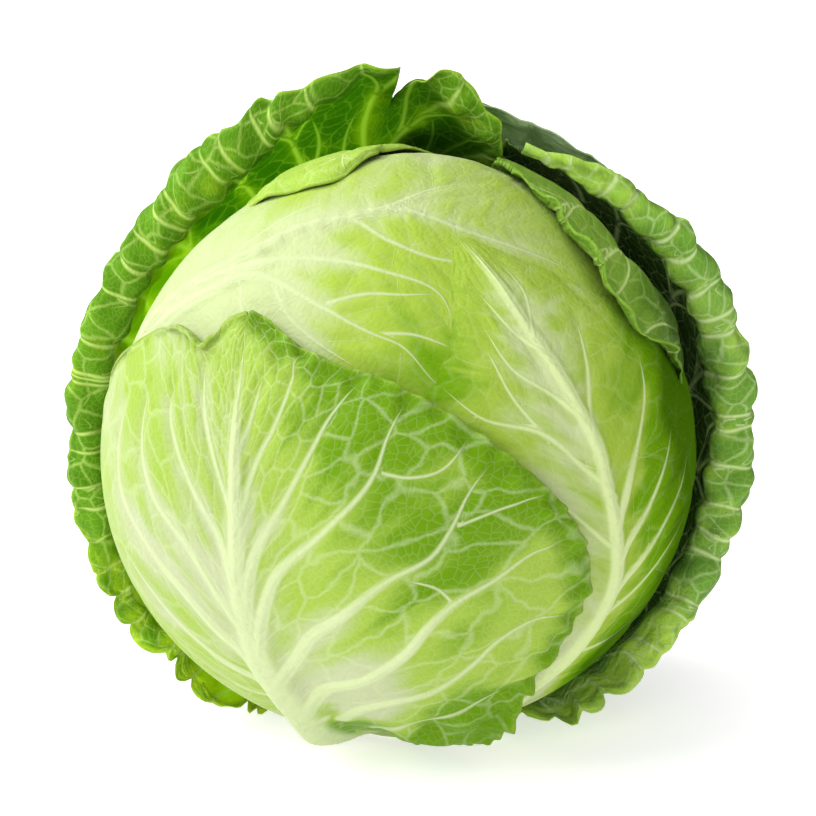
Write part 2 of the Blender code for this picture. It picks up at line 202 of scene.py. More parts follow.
def curve_through(knots, points, at):
    """A smooth curve through points at uneven knots: cubic pieces that share their slopes."""
    gap = np.diff(knots)[:, None]
    slope = np.diff(points, axis=0) / gap
    middle = (slope[:-1] * gap[1:] + slope[1:] * gap[:-1]) / (gap[1:] + gap[:-1])
    tangent = np.vstack([slope[:1], middle, slope[-1:]])
    at = np.clip(at, knots[0], knots[-1])
    piece = np.clip(np.searchsorted(knots, at, "right") - 1, 0, len(knots) - 2)
    width = gap[piece]
    u = ((at - knots[piece])[:, None]) / width
    return (
        (1 + 2 * u) * (1 - u) ** 2 * points[piece]
        + u * (1 - u) ** 2 * width * tangent[piece]
        + u * u * (3 - 2 * u) * points[piece + 1]
        + u * u * (u - 1) * width * tangent[piece + 1]
    )


def unit(vectors):
    """The vectors, each divided by its length."""
    return vectors / np.maximum(np.linalg.norm(vectors, axis=-1, keepdims=True), 1e-12)


def heart_radius(dirs):
    """A ball's radius, changed round each swell by a soft bump of the angle from its middle."""
    radius = np.full(len(dirs), HEART_RADIUS)
    for longitude, latitude, width, change in HEART_SWELLS:
        angle = np.degrees(np.arccos(np.clip(dirs @ directions(longitude, latitude), -1, 1)))
        radius += change * (1 - smooth_step(angle / width))
    return radius


class Chart:
    """A flat map of the directions round a centre: angles from the centre stay true."""

    def __init__(self, longitude, latitude):
        self.centre = directions(longitude, latitude)
        self.east = directions(longitude + 90, 0)
        self.north = np.cross(self.centre, self.east)

    def flat(self, dirs):
        """Directions to places on the map: each as far from the middle as its angle."""
        angle = np.arccos(np.clip(dirs @ self.centre, -1, 1))
        scale = angle / np.maximum(np.sin(angle), 1e-6)
        return np.stack([dirs @ self.east, dirs @ self.north], -1) * scale[..., None]

    def dirs(self, flat):
        """Places on the map back to directions."""
        angle = np.linalg.norm(flat, axis=-1, keepdims=True)
        way = flat / np.maximum(angle, 1e-9)
        side = self.east * way[..., :1] + self.north * way[..., 1:]
        return self.centre * np.cos(angle) + side * np.sin(angle)


class Reach:
    """A wrapper's own distance from the centre, a spline through the radii in its points."""

    def __init__(self, dirs, radii):
        self.at = dirs
        count = len(dirs)
        system = np.zeros((count + 1, count + 1))
        system[:count, :count] = np.linalg.norm(dirs[:, None] - dirs[None], axis=-1)
        system[:count, count] = 1
        system[count, :count] = 1
        solved = np.linalg.solve(system, np.append(radii, 0))
        self.weights = solved[:count]
        self.level = solved[count]

    def radius(self, dirs):
        """The sum over the given points of weight times distance, and a level."""
        return np.linalg.norm(dirs[:, None] - self.at[None], axis=-1) @ self.weights + self.level


class Leaf:
    """rib, left and right list (station, longitude, latitude[, radius in mm]) from base to tip.

    rib_size is the midrib's half width and height at the base. rolls gives for each side the strip
    that turns outwards, as (station, turn in degrees, width in mm).
    """

    def __init__(self, name, centre, rib, left, right, rib_size=(0.010, 0.0028), rolls=(None, None)):
        self.name = name
        self.chart = Chart(*centre)
        self.rib = self.read(rib)
        self.margins = (self.read(left), self.read(right))
        self.rib_size = rib_size
        self.rolls = rolls
        stations = np.linspace(0, 1, OUTLINE_POINTS)
        outline = [self.along(self.margins[0], stations), self.along(self.margins[1], stations)[::-1]]
        self.outline = np.vstack(outline) * HEAD_RADIUS
        given = [row for row in rib + left + right if len(row) > 3]
        self.reach = None
        if given:
            table = np.array(sorted(set(row[1:] for row in given)), float)
            self.reach = Reach(directions(table[:, 0], table[:, 1]), table[:, 2] / 1000)

    def read(self, rows):
        """The stations of a line and its places on the leaf's map."""
        table = np.array([row[:3] for row in rows], float)
        return table[:, 0], self.chart.flat(directions(table[:, 1], table[:, 2]))

    def along(self, line, stations):
        """Places on a line at these stations."""
        return curve_through(line[0], line[1], stations.ravel()).reshape(stations.shape + (2,))

    def depth(self, dirs):
        """How far inside the outline each direction is, in metres on the head, or outside if negative."""
        spot = self.chart.flat(dirs)[:, None] * HEAD_RADIUS
        start = self.outline[None]
        end = np.roll(self.outline, -1, axis=0)[None]
        run = end - start
        share = np.clip(((spot - start) * run).sum(-1) / np.maximum((run * run).sum(-1), 1e-12), 0, 1)
        away = np.linalg.norm(spot - start - share[..., None] * run, axis=-1).min(1)
        level = (start[..., 1] > spot[..., 1]) != (end[..., 1] > spot[..., 1])
        rise = np.where(np.abs(run[..., 1]) < 1e-12, 1e-12, run[..., 1])
        crossing = start[..., 0] + (spot[..., 1] - start[..., 1]) / rise * run[..., 0]
        inside = (level & (spot[..., 0] < crossing)).sum(1) % 2 == 1
        return np.where(inside, away, -away)

    def rib_lift(self, dirs):
        """How much the midrib thickens the blade outwards, tapering from base to tip."""
        stations = np.linspace(0, 1, OUTLINE_POINTS)
        line = self.along(self.rib, stations) * HEAD_RADIUS
        away = np.linalg.norm(self.chart.flat(dirs)[:, None] * HEAD_RADIUS - line[None], axis=-1)
        nearest = away.argmin(1)
        taper = 1 - stations[nearest]
        half_width, height = self.rib_size
        half_width = half_width * (RIB_TIP_SHARE + (1 - RIB_TIP_SHARE) * taper)
        swell = smooth_step(10 * stations[nearest] + 0.35)
        return height * taper**1.2 * swell * (1 - smooth_step(away.min(1) / half_width))


def pile(dirs, number):
    """Inner radius and thickness of leaf `number`, and how deep under higher leaves each point is."""
    depths = [leaf.depth(dirs) for leaf in LEAVES] + [np.full(len(dirs), -1.0)]
    stack = heart_radius(dirs) + GAP
    for index, leaf in enumerate(LEAVES[: number + 1]):
        inner = stack
        if leaf.reach:
            inner = np.maximum(stack, leaf.reach.radius(dirs))
        open_to_air = np.ones(len(dirs))
        for depth in depths[index + 1 :]:
            open_to_air *= 1 - smooth_step(depth / RIB_BURIED)
        thickness = BLADE + leaf.rib_lift(dirs) * open_to_air
        if index == number:
            return inner, thickness, np.max(depths[index + 1 :], axis=0)
        cover = smooth_step((depths[index] + SKIRT_START + SKIRT) / SKIRT)
        stack = stack + cover * (inner + thickness + GAP - stack)


# Leaves from the inside out. Rows are (station, longitude, latitude) and, on a wrapper, radius in mm.
LEAVES = [
    Leaf(
        "upper_leaf",
        centre=(-45, 30),
        rib=[(0, -80, -74), (0.18, -90, -45), (0.36, -84, -5), (0.46, -78, 25), (0.58, -49, 50),
             (0.68, -14, 63), (0.78, 15, 60), (1, 72, 46)],
        left=[(0, -94, -73.5), (0.1, -118, -50), (0.22, -130, -20), (0.34, -132, 10), (0.46, -132, 35),
              (0.58, -142, 52), (0.68, 178, 62), (0.8, 125, 60), (0.9, 98, 54), (1, 76, 48)],
        right=[(0, -66, -73.5), (0.1, -52, -52), (0.22, -42, -20), (0.34, -30, -5), (0.46, -15, 0),
               (0.58, 2, 4), (0.7, 20, 10), (0.82, 42, 18), (0.92, 60, 29), (1, 72, 43)],
    ),
    Leaf(
        "back_leaf",
        centre=(180, 10),
        rib=[(0, -170, -74), (0.27, 178, -35), (0.53, 175, 5), (0.76, 178, 40), (1, -110, 85)],
        left=[(0, 170, -73.5), (0.1, 150, -55), (0.27, 125, -30), (0.45, 115, 0), (0.62, 112, 30),
              (0.76, 122, 50), (0.88, 148, 68), (1, -130, 85)],
        right=[(0, -152, -73.5), (0.1, -140, -55), (0.27, -122, -30), (0.45, -113, 0), (0.62, -106, 30),
               (0.74, -97, 50), (0.82, -78, 61), (0.89, -60, 67), (0.95, -45, 73), (1, -85, 86)],
    ),
    Leaf(
        "right_leaf",
        centre=(45, 5),
        rib=[(0, 38, -74), (0.11, 31, -55), (0.22, 32, -42), (0.34, 40, -31), (0.45, 44, -16),
             (0.54, 42, -5), (0.63, 39, 6), (0.72, 33, 22), (0.82, 27, 36), (1, 17, 57.5)],
        left=[(0, 25, -73.5), (0.11, 12, -56), (0.22, 0, -42), (0.34, -8, -25), (0.45, -8, -5),
              (0.55, -6, 10), (0.65, 0, 22), (0.73, 7, 31), (0.82, 10, 40), (0.9, 11, 48), (1, 15, 57)],
        right=[(0, 55, -73.5), (0.11, 75, -62), (0.22, 96, -45), (0.34, 104, -25), (0.45, 104, -5),
               (0.54, 98, 12), (0.63, 86, 27), (0.72, 68, 36), (0.81, 52, 43), (0.9, 36, 51), (1, 19, 58)],
    ),
    Leaf(
        "side_leaf",
        centre=(115, 5),
        rib=[(0, 118, -74), (0.22, 124, -42), (0.45, 125, -5), (0.68, 120, 30), (0.85, 110, 52), (1, 88, 70)],
        left=[(0, 104, -73.5), (0.1, 96, -52), (0.22, 92, -30), (0.35, 88, -8), (0.45, 78, 12),
              (0.52, 70, 21), (0.59, 60, 25), (0.66, 53, 31), (0.74, 52, 38), (0.82, 54, 47),
              (0.89, 61, 56), (0.95, 69, 63), (1, 82, 70)],
        right=[(0, 134, -73.5), (0.11, 150, -55), (0.27, 160, -30), (0.4, 164, 0), (0.6, 160, 30),
               (0.8, 150, 55), (1, 95, 73)],
        rolls=([(0, 0, 2), (0.45, 5, 3), (0.55, 45, 9), (0.9, 50, 9), (1, 10, 3)], None),
    ),
    Leaf(
        "front_leaf",
        centre=(-30, -10),
        rib=[(0, -38, -74), (0.12, -33, -60), (0.26, -30, -46), (0.39, -32, -32), (0.52, -32, -18),
             (0.64, -31, -2), (0.77, -32, 12), (0.89, -34, 25), (1, -37, 36.5)],
        left=[(0, -22, -73.5), (0.09, -62, -63), (0.18, -90, -46), (0.27, -101, -22), (0.36, -97, 0),
              (0.44, -80, 19), (0.52, -67, 28), (0.61, -58, 31), (0.71, -51, 31), (0.77, -46, 29.5),
              (0.83, -44, 32.5), (0.92, -42, 35.5), (1, -38, 37.4)],
        right=[(0, 12, -73.5), (0.06, 26, -62), (0.13, 28, -50), (0.2, 29, -38), (0.26, 34, -24),
               (0.31, 36, -12), (0.37, 31, 0), (0.43, 23, 9), (0.49, 12, 18), (0.58, -2, 26),
               (0.7, -14, 29.5), (0.84, -24, 33), (0.93, -31, 36.3), (1, -36, 37.4)],
        rib_size=(0.012, 0.0034),
        rolls=([(0, 0, 1), (0.56, 0, 1), (0.6, 90, 5), (0.66, 170, 8), (0.76, 190, 8), (0.81, 90, 5),
                (0.86, 0, 1), (1, 0, 1)], None),
    ),
    Leaf(
        "left_wrapper",
        centre=(-150, 15),
        rib=[(0, -125, -74, 80), (0.2, -135, -42, 85), (0.42, -146, -5, 87), (0.62, -156, 25, 89),
             (0.8, -166, 45, 94), (1, -176, 64, 102)],
        left=[(0, -142, -73.5, 80), (0.1, -165, -60, 85), (0.22, 175, -35, 87), (0.38, 165, -5, 88),
              (0.52, 158, 25, 89), (0.62, 150, 50, 89), (0.7, 141, 63, 90), (0.77, 149, 69, 96),
              (0.84, 161, 73, 104), (0.9, 170, 72.5, 105), (0.95, 177, 69.5, 104), (1, -177, 64.5, 102)],
        right=[(0, -108, -73.5, 80), (0.07, -81, -57, 80), (0.14, -85, -45.5, 86), (0.22, -90, -34.5, 91.5),
               (0.3, -94, -22, 91), (0.39, -96, -6, 88), (0.48, -96, 10, 88), (0.56, -97, 24, 87.5),
               (0.63, -100, 36, 87), (0.7, -104, 46, 88), (0.76, -111, 55, 89.5), (0.82, -122, 62, 94),
               (0.88, -142, 69, 101), (0.94, -166, 73, 108), (0.975, -178, 71.5, 107.5),
               (1, -175, 64.5, 102)],
        rolls=(
            [(0, 0, 1.5), (0.66, 0, 1.5), (0.72, 70, 9), (0.8, 80, 9), (0.86, 20, 4), (0.9, 0, 1.5),
             (1, 0, 1.5)],
            [(0, 0, 2), (0.08, 20, 3), (0.14, 40, 6), (0.22, 60, 8), (0.3, 90, 10), (0.39, 150, 13),
             (0.48, 185, 15.5), (0.58, 185, 16.5), (0.66, 185, 19), (0.76, 180, 19), (0.82, 150, 14),
             (0.88, 90, 7), (0.93, 30, 3), (0.97, 0, 1.5), (1, 0, 1.5)],
        ),
    ),
    Leaf(
        "right_wrapper",
        centre=(130, 10),
        rib=[(0, 80, -74, 80), (0.2, 100, -50, 85), (0.42, 118, -15, 88), (0.65, 126, 20, 90),
             (0.85, 129, 42, 91), (1, 134, 60, 91)],
        left=[(0, 62, -73.5, 81), (0.06, 62, -64, 83), (0.13, 76, -53, 86), (0.2, 84, -43, 88),
              (0.28, 89, -31, 89), (0.36, 92, -20, 90), (0.46, 94, -7, 90), (0.56, 95, 7, 90),
              (0.66, 97, 20, 91), (0.76, 101, 32, 91.5), (0.86, 107, 43, 91), (0.94, 115, 52, 90.5),
              (1, 132, 62, 90)],
        right=[(0, 98, -73.5, 80), (0.12, 130, -60, 86), (0.3, 158, -35, 89), (0.5, 168, -5, 90),
               (0.68, 166, 25, 91), (0.85, 158, 48, 92), (1, 138, 62, 92)],
        rolls=(
            [(0, 0, 2), (0.06, 10, 2), (0.13, 40, 6), (0.2, 80, 9), (0.28, 150, 15), (0.36, 175, 17),
             (0.86, 185, 17.5), (1, 120, 10)],
            None,
        ),
    ),
    Leaf(
        "back_wrapper",
        centre=(165, 10),
        rib=[(0, 152, -74, 82), (0.26, 163, -38, 89), (0.52, 165, 5, 93), (0.76, 160, 38, 98),
             (1, 154, 62, 103)],
        left=[(0, 140, -73.5, 82), (0.13, 130, -50, 90), (0.3, 127, -20, 95), (0.48, 124, 5, 98),
              (0.65, 122, 25, 100), (0.8, 124, 41, 101), (0.9, 137, 54, 103), (1, 152, 63, 103)],
        right=[(0, 170, -73.5, 82), (0.13, -170, -52, 89), (0.3, -163, -20, 93), (0.48, -163, 10, 94),
               (0.65, -167, 36, 96), (0.82, -176, 52, 99), (1, 160, 64, 103)],
    ),
]


def meander(along, spacing, seed):
    """A smooth random curve from -1 to 1 along a length, with a turn about every spacing."""
    random = np.random.default_rng(seed)
    knots = np.arange(-2, along.max() / spacing + 3)
    heights = random.uniform(-1, 1, (len(knots), 1))
    knots = (knots + random.uniform(-0.3, 0.3, len(knots))) * spacing
    return curve_through(knots, heights, along.ravel())[:, 0].reshape(along.shape)


def swell(places, size, seed):
    """A smooth random field from about -1 to 1: six waves about size long, in random ways."""
    random = np.random.default_rng(seed)
    total = np.zeros(places.shape[:-1])
    for way, stretch, shift in random.uniform(0, 1, (6, 3)):
        way = 2 * math.pi * way
        pull = 2 * math.pi / size * (0.6 + 0.8 * stretch)
        wave = places[..., 0] * math.cos(way) + places[..., 1] * math.sin(way)
        total += np.cos(wave * pull + 2 * math.pi * shift)
    return total / 3


# A vein of a half width past RAISED is a rib in relief, fully so at RAISED_FULL. A finer one is
# drawn by the leaf's skin. Within HELD of an older vein, a point keeps to that one.
RAISED = 0.0011
RAISED_FULL = 0.0019
HELD = 0.0013
NO_VEIN = (0.008, 0, 0.008)  # what a point far from every vein holds
TWIG_STEP = 0.001
TWIG_MEETS = 0.0011  # how near another vein a small one has to come to end in it
ROLLED = 2.2  # the turn in radians at which a roll no longer lets its edge wave


class Blade:
    """One leaf as a fine grid: rows along it, columns from its left margin over the midrib.

    grid_t is each point's station and u the share of the way out, negative on the left. From 1 to
    2, u runs over a rolled strip. sheet is where each point lies on the flattened leaf and edge how
    far it is from the margin, in metres. lift moves a point outwards, and bare is 0 where another
    leaf covers it. vein, crest and halo say how far a point is on a vein, how high that stands and
    how near its pale band is. line holds the offset from the nearest vein and its length, and fine
    that vein's half width.
    """

    def __init__(self, name, rows, columns, strips=(0, 0), crowd=((0, 1), (0, 1))):
        self.number = [leaf.name for leaf in LEAVES].index(name)
        self.leaf = LEAVES[self.number]
        self.t = LAST_STATION * np.interp(np.linspace(0, 1, rows + 1), *crowd)
        left, right = (self.half(side, columns[side], strips[side]) for side in (0, 1))
        joined = [np.concatenate([a[:, :0:-1], b], 1) for a, b in zip(left, right)]
        self.sheet, self.points, self.normal, self.open_air, self.bare, self.edge = joined
        left, right = (self.shares(columns[side], strips[side]) for side in (0, 1))
        self.u = np.concatenate([-left[:0:-1], right])
        self.grid_t = self.t[:, None] + 0 * self.u
        self.grid_u = self.u + 0 * self.t[:, None]
        self.dirs = unit(self.points)
        self.rib = self.leaf.rib_lift(self.dirs.reshape(-1, 3)).reshape(self.bare.shape)
        self.rib = self.rib * self.open_air * (np.abs(self.u) < 1)
        thinner = 0.3 + 0.7 * smooth_step(self.edge / 0.007)
        self.thick = BLADE * thinner + self.rib
        self.lift, self.vein, self.crest, self.halo, self.fine = np.zeros((5, *self.bare.shape))
        self.line = np.zeros((*self.bare.shape, 3)) + NO_VEIN
        self.lines = []

    def shares(self, columns, strip):
        """0 to 1 over the blade's columns, then 1 to 2 over the strip's."""
        blade = np.arange(columns + 1) / columns
        return np.concatenate([blade, 1 + np.arange(1, strip + 1) / max(strip, 1)])

    def roll(self, side, t):
        """Turn and width of the rolled strip at each station, and the share of the blade before it."""
        middle = self.leaf.along(self.leaf.rib, t)
        edge = self.leaf.along(self.leaf.margins[side], t)
        length = np.linalg.norm(edge - middle, axis=-1) * HEAD_RADIUS
        if not self.leaf.rolls[side]:
            return 0 * t, 0 * t, 1 + 0 * t, length
        knots, turns, widths = zip(*self.leaf.rolls[side])
        turn = np.radians(np.interp(t, knots, turns)) + LEAST_TURN
        uneven = swell(np.stack([t * 0.4, 0 * t], -1), 0.03, self.number + side)
        width = np.minimum(np.interp(t, knots, widths) * (1 + 0.14 * uneven) / 1000, 0.45 * length)
        turn = turn * (1 + 0.12 * uneven)
        blade_end = 1 - width * np.sin(np.minimum(turn, math.pi / 2)) / turn / length
        return turn, width, blade_end, length

    def flat(self, side, t, u):
        """Where stations and shares lie on the leaf's map: a parabola from rib to margin per row."""
        leaf = self.leaf
        middle = leaf.along(leaf.rib, t)
        edge = leaf.along(leaf.margins[side], t)
        ahead = unit(leaf.along(leaf.rib, t + 0.02) - leaf.along(leaf.rib, t - 0.02))
        across = np.linalg.norm(edge - middle, axis=-1, keepdims=True)
        bend = (middle + edge) / 2 + ahead * BOW * across
        turn, width, blade_end, length = self.roll(side, t)
        share = (np.minimum(u, 1) * blade_end)[..., None]
        end = blade_end[..., None]
        out = unit((2 * end - 2) * middle + (2 - 4 * end) * bend + 2 * end * edge)
        blade = (1 - share) ** 2 * middle + 2 * share * (1 - share) * bend + share**2 * edge
        return blade + out * (np.maximum(u - 1, 0) * width)[..., None] / HEAD_RADIUS

    def half(self, side, columns, strip):
        """Every field of one half, from the midrib to the margin. A strip is an arc of its turn.

        The pile of leaves is worked out on a rough grid, and smooth curves through that fill this one.
        """
        leaf = self.leaf
        rough_t = np.linspace(0, LAST_STATION, 64)
        rough_u = np.linspace(0, 1, 19)
        dirs = leaf.chart.dirs(self.flat(side, rough_t[:, None], rough_u[None]))
        inner, thickness, covered = pile(dirs.reshape(-1, 3), self.number)
        open_air = 1 - smooth_step(covered / RIB_BURIED)
        bare = 1 - smooth_step((covered + VEIN_STOP + VEIN_FADE) / VEIN_FADE)
        u = np.arange(columns + 1) / columns
        fine = []
        for field in (inner, open_air, bare):
            tall = curve_through(rough_t, field.reshape(len(rough_t), len(rough_u)), self.t)
            fine.append(curve_through(rough_u, tall.T, u).T)
        radius, open_air, bare = fine
        sheet = self.flat(side, self.t[:, None], self.shares(columns, strip)[None])
        dirs = leaf.chart.dirs(sheet[:, : columns + 1])
        points = dirs * radius[..., None]
        turn, width, blade_end, length = self.roll(side, self.t)
        edge = length[:, None] * (1 - u * blade_end[:, None])
        if not strip:
            return sheet * HEAD_RADIUS, points, dirs, open_air, bare, edge

        along = unit(points[:, -1] - points[:, -3])
        out = unit(dirs[:, -1] - (dirs[:, -1] * along).sum(-1, keepdims=True) * along)
        share = np.arange(1, strip + 1) / strip
        turned = turn[:, None] * share
        forward = (width / turn)[:, None] * np.sin(turned)
        lifted = (width / turn)[:, None] * (1 - np.cos(turned))
        rolled = points[:, -1:] + along[:, None] * forward[..., None] + out[:, None] * lifted[..., None]
        normal = out[:, None] * np.cos(turned)[..., None] - along[:, None] * np.sin(turned)[..., None]
        rest = width[:, None] * (1 - share)
        ones = np.ones((len(self.t), strip))
        return (
            sheet * HEAD_RADIUS,
            np.hstack([points, rolled]),
            np.hstack([dirs, normal]),
            np.hstack([open_air, ones * open_air[:, -1:]]),
            np.hstack([bare, ones * bare[:, -1:]]),
            np.hstack([edge - edge[:, -1:] + width[:, None], rest]),
        )

    def lay(self, line, widths, strength=1.0, fade=1):
        """Adds one vein along a line on the sheet. widths are its half widths, evenly along it.

        Each point finds its nearest place on the line. The rib is level inside the half width and
        gone just outside it, its crest a bell 1.7 of them wide, and the pale band one 4 wide. fade
        is 1 for a vein that thins out at its end and 0 for one that runs into another.
        """
        reach = 5 * max(widths)
        near = np.all((self.sheet > line.min(0) - reach) & (self.sheet < line.max(0) + reach), -1)
        offset = self.sheet[near][:, None] - line[:-1]
        run = np.diff(line, axis=0)
        share = np.clip((offset * run).sum(-1) / (run * run).sum(-1), 0, 1)
        gap = offset - share[..., None] * run
        away = np.linalg.norm(gap, axis=-1)
        pick = away.argmin(1)
        row = np.arange(len(pick))
        away = away[row, pick]
        done = (pick + share[row, pick]) / len(run)
        width = np.interp(done, np.linspace(0, 1, len(widths)), widths)
        ratio = away / width
        thick = smooth_step((width - RAISED) / (RAISED_FULL - RAISED))
        core = smooth_step((1.1 - ratio) / 0.5) * (1 - done**8) * strength * thick
        wide = np.maximum(1 - (ratio / 1.7) ** 2, 0) ** 2 * (1 - done**8) * thick
        soft = np.exp(-((ratio / 4) ** 2)) * (1 - done**4) * np.minimum(width / 0.0016, 1)
        self.vein[near] = np.maximum(self.vein[near], core)
        self.crest[near] = np.maximum(self.crest[near], wide * np.minimum(width, 0.002) * 0.6)
        self.halo[near] = np.maximum(self.halo[near], soft * strength)
        fine = np.minimum(width * 0.8, RAISED) * strength * (1 - fade * done**6)
        old = self.line[near]
        closer = (away < old[:, 2]) & (old[:, 2] > HELD)
        self.line[near] = np.where(closer[:, None], np.column_stack([gap[row, pick], away]), old)
        self.fine[near] = np.where(closer, fine, self.fine[near])
        self.lines.append(line)

    def veins(self, table):
        """Veins as (half widths in mm from start to end), (longitude, latitude), (...) and so on."""
        for widths, *places in table:
            knots = self.leaf.chart.flat(directions(*np.array(places, float).T)) * HEAD_RADIUS
            gone = np.append(0, np.cumsum(np.linalg.norm(np.diff(knots, axis=0), axis=1)))
            line = curve_through(gone, knots, np.linspace(0, gone[-1], int(gone[-1] / 0.003) + 6))
            self.lay(line, np.array(widths) / 1000)

    def midrib(self, *widths):
        """The midrib's pale band, by its half widths in mm from base to tip."""
        line = self.leaf.along(self.leaf.rib, np.linspace(0, LAST_STATION, 80)) * HEAD_RADIUS
        self.lay(line, np.array(widths) / 1000)

    def fans(self, side, spacing, lead, start, end, seed):
        """Side veins that reach the margin at random places, three to a stalk from the midrib.

        lead is how many stations they climb on their way, and start and end their half widths. It
        gives, for each row, 0 at the veins and 1 half way between two of them.
        """
        random = np.random.default_rng(seed)
        t = np.linspace(0, LAST_STATION, 400)
        rim = self.flat(side, t, 1 + 0 * t) * HEAD_RADIUS
        gone = np.append(0, np.cumsum(np.linalg.norm(np.diff(rim, axis=0), axis=1)))
        count = int(gone[-1] / spacing)
        spots = (np.arange(count) + 0.5 + random.uniform(-0.42, 0.42, count)) * spacing
        ends = np.interp(spots, gone, t)
        far = 2.0 if self.leaf.rolls[side] else 1.0
        for place, station in enumerate(ends):
            stalk = ends[min(place - place % 3 + 1, count - 1)]
            split = random.uniform(0.3, 0.6)
            share = np.linspace(0.02 if place % 3 == 1 else split, far, 26)
            spread = smooth_step((share - split) / (1 - split))
            goal = stalk + (station - stalk) * spread
            path = goal - lead * np.maximum(1 - share, 0) ** 1.3
            line = self.flat(side, np.clip(path, 0, 1), share) * HEAD_RADIUS
            line += meander(share[:, None] + 0 * line, 0.35, seed + place)[..., :1] * 0.0005
            self.lay(line, (start if place % 3 == 1 else 0.6 * start, end))
        row = np.interp(self.t, t, gone)
        after = np.clip(np.searchsorted(spots, row), 1, count - 1)
        between = np.clip((row - spots[after - 1]) / (spots[after] - spots[after - 1]), 0, 1)
        return np.sqrt(4 * between * (1 - between))[:, None]

    def puff_rim(self, hand, lobes, height):
        """Presses a rim's lobes towards the inner face, which is the round side of a roll.

        hand is -1 for the left margin and 1 for the right one.
        """
        self.lift -= height * lobes * smooth_step((hand * self.u - 0.65) / 0.5)

    def frill(self, hand, lobes, reach, wave, seed):
        """Where a rim isn't rolled, its lobes reach outwards and it waves to and fro."""
        turn = self.roll(int(hand > 0), self.t)[0][:, None]
        free = 1 - smooth_step(turn / ROLLED)
        rim = self.points[:, [-1, -5] if hand > 0 else [0, 4]]
        way = unit(rim[:, 0] - rim[:, 1])[:, None]
        zone = smooth_step(1 - self.edge / 0.012) * (hand * self.u > 0) * free
        self.points += way * (zone * reach * lobes)[..., None]
        zone = smooth_step(1 - self.edge / 0.022) * (hand * self.u > 0) * free
        self.lift += zone * wave * (0.4 + meander(self.grid_t * 0.4, 0.011, seed))

    def twigs(self, spacing, length, seed, strength=0.5, lean=(0.7, 1.2), since=0.0):
        """Small veins that leave those laid so far, by turns left and right, and stop at the next one.

        lean is the range of angles to the vein that they leave, in radians, and since the share of
        that vein before the first one. Each is a walk of short steps that slowly turns.
        """
        random = np.random.default_rng(seed)
        parents = list(self.lines)
        known = []
        for line in parents:
            gone = np.append(0, np.cumsum(np.linalg.norm(np.diff(line, axis=0), axis=1)))
            at = np.arange(0, gone[-1], TWIG_STEP)
            known.append(np.stack([np.interp(at, gone, line[:, 0]), np.interp(at, gone, line[:, 1])], 1))
        for place, line in enumerate(parents):
            step = np.diff(line, axis=0)
            gone = np.append(0, np.cumsum(np.linalg.norm(step, axis=1)))
            hand = random.choice([-1, 1])
            at = gone[-1] * since + spacing * random.uniform(0.3, 0.9)
            while at < gone[-1] * 0.98:
                start = np.array([np.interp(at, gone, line[:, 0]), np.interp(at, gone, line[:, 1])])
                ahead = unit(step[min(np.searchsorted(gone, at), len(step)) - 1])
                count = int(length * random.uniform(0.6, 1.2) / TWIG_STEP)
                turn = hand * (random.uniform(*lean) - random.uniform(0.0, 0.6) * np.linspace(0, 1, count))
                turn += 0.12 * np.sin(np.arange(count) / 2.2 + random.uniform(0, 6))
                way = np.stack([ahead[0] * np.cos(turn) - ahead[1] * np.sin(turn),
                                ahead[0] * np.sin(turn) + ahead[1] * np.cos(turn)], 1)
                path = start + np.vstack([[0, 0], np.cumsum(way, axis=0)]) * TWIG_STEP
                others = np.concatenate(known[:place] + known[place + 1 :])
                met = np.linalg.norm(path[2:, None] - others[None], axis=-1).min(1) < TWIG_MEETS
                stop = 2 + met.argmax() if met.any() else len(path) - 1
                if stop > 3:
                    path = path[: stop + 1]
                    self.lay(path, (0.0006, 0.00048), strength, 0 if met.any() else 1)
                    known.append(path)
                hand = -hand
                at += spacing * random.uniform(0.6, 1.4)

    def build(self, ridge, puff, tint, outer_tint=None):
        """The closed mesh, with veins raised by ridge and the blade puffed up by puff between them.

        ridge above 0 raises veins on the outer face only. Below 0 it presses them through the
        blade, away from the inner face, as on a leaf that shows its inner side. What hangs below
        RESTING is bent up by an exponential that nears the table and never reaches it. tint and
        the grid's fields go with the mesh as attributes, and outer_tint is for the outer face alone.
        """
        puffed = smooth_step(self.line[..., 2] / 0.0034) * (1 - self.vein)
        outside = self.bare * (ridge > 0) * (ridge * self.crest + puff * puffed)
        through = self.lift - self.bare * (ridge < 0) * (ridge * self.crest + puff * puffed)
        inner = self.points + self.normal * through[..., None]
        outer = inner + self.normal * (self.thick + outside)[..., None]
        points, faces = closed_sheet(inner + HEAD_CENTRE, outer + HEAD_CENTRE)
        low = np.minimum(points[:, 2], RESTING)
        points[:, 2] += RESTING * np.exp(low / RESTING - 1) - low
        name = self.leaf.name + "_blade"
        mesh = bpy.data.meshes.new(name)
        mesh.vertices.add(len(points))
        mesh.vertices.foreach_set("co", points.ravel())
        mesh.loops.add(faces.size)
        mesh.loops.foreach_set("vertex_index", faces.ravel())
        mesh.polygons.add(len(faces))
        mesh.polygons.foreach_set("loop_start", np.arange(0, faces.size, 3))
        mesh.update(calc_edges=True)
        mesh.shade_smooth()
        both = {"vein": self.vein, "halo": self.halo, "rim": self.edge, "share": self.grid_u,
                "station": self.grid_t, "width": self.fine}
        fields = {field: np.stack([values, values]) for field, values in both.items()}
        fields["tint"] = np.stack([tint, tint if outer_tint is None else outer_tint])
        fields["face"] = np.stack([0 * tint, 1 + 0 * tint])
        for field, values in fields.items():
            mesh.attributes.new(field, "FLOAT", "POINT").data.foreach_set("value", values.ravel())
        flat = np.concatenate([self.sheet, 0 * self.sheet[..., :1]], -1)
        for field, vectors in {"sheet": flat, "line": self.line}.items():
            data = mesh.attributes.new(field, "FLOAT_VECTOR", "POINT").data
            data.foreach_set("vector", np.stack([vectors, vectors]).ravel())
